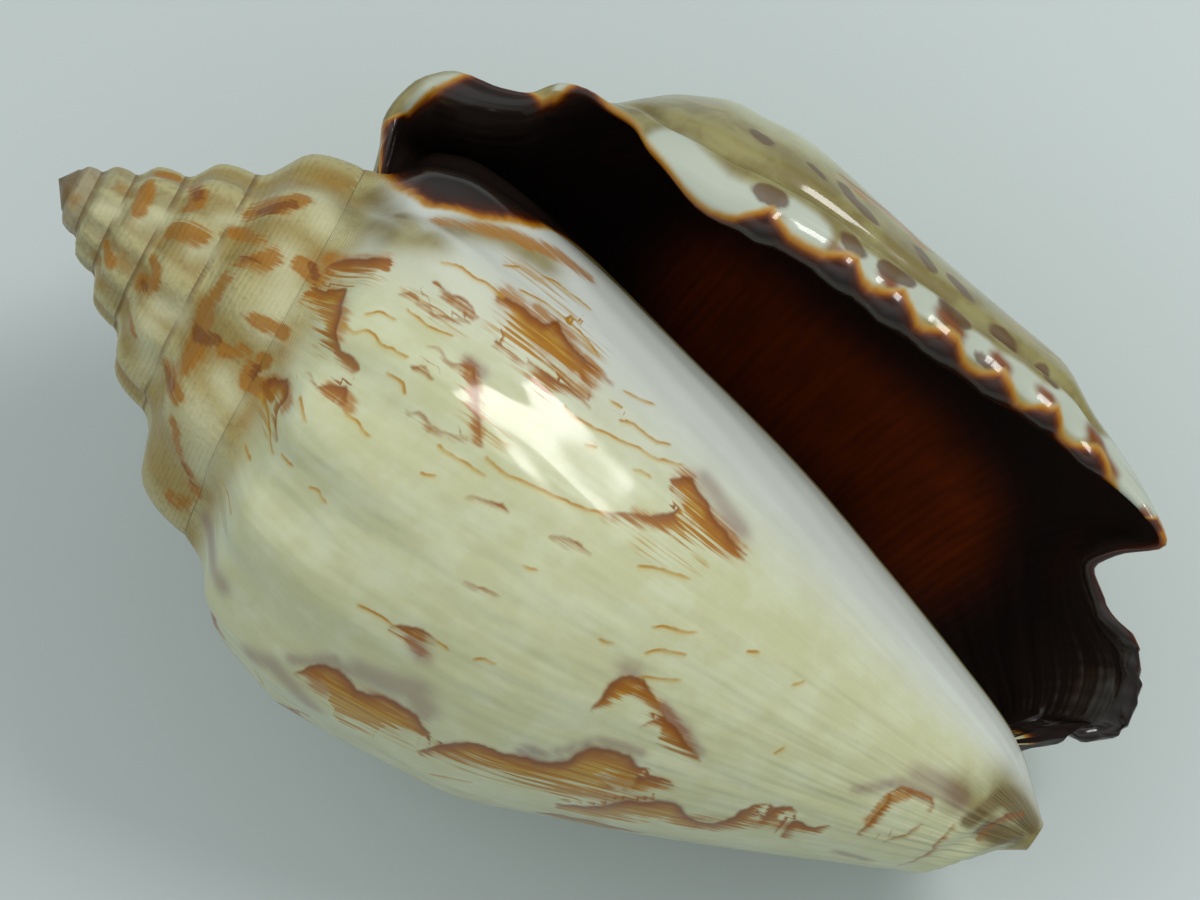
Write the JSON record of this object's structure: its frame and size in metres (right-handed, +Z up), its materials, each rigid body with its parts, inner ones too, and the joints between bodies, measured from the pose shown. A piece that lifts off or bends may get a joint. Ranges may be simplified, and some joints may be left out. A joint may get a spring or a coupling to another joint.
{
  "type": "conch shell",
  "caption": "Hollow spiral sea shell with a knobbed conical spire, a flared lip rolled in along the dark aperture and an open siphonal canal, lying on its back.",
  "frame": {"origin": "middle of the bounding box, on the ground under the resting shell", "axes": "+X along the shell from the apex to the front end, +Y towards the lip, +Z up out of the aperture"},
  "size_m": [0.06, 0.0386, 0.0323],
  "materials": {
    "shell": "glossy cream outside with orange-brown marks, near-black glossy inside the aperture"
  },
  "bodies": {
    "root": {"shell": "shell"}
  },
  "joints": []
}
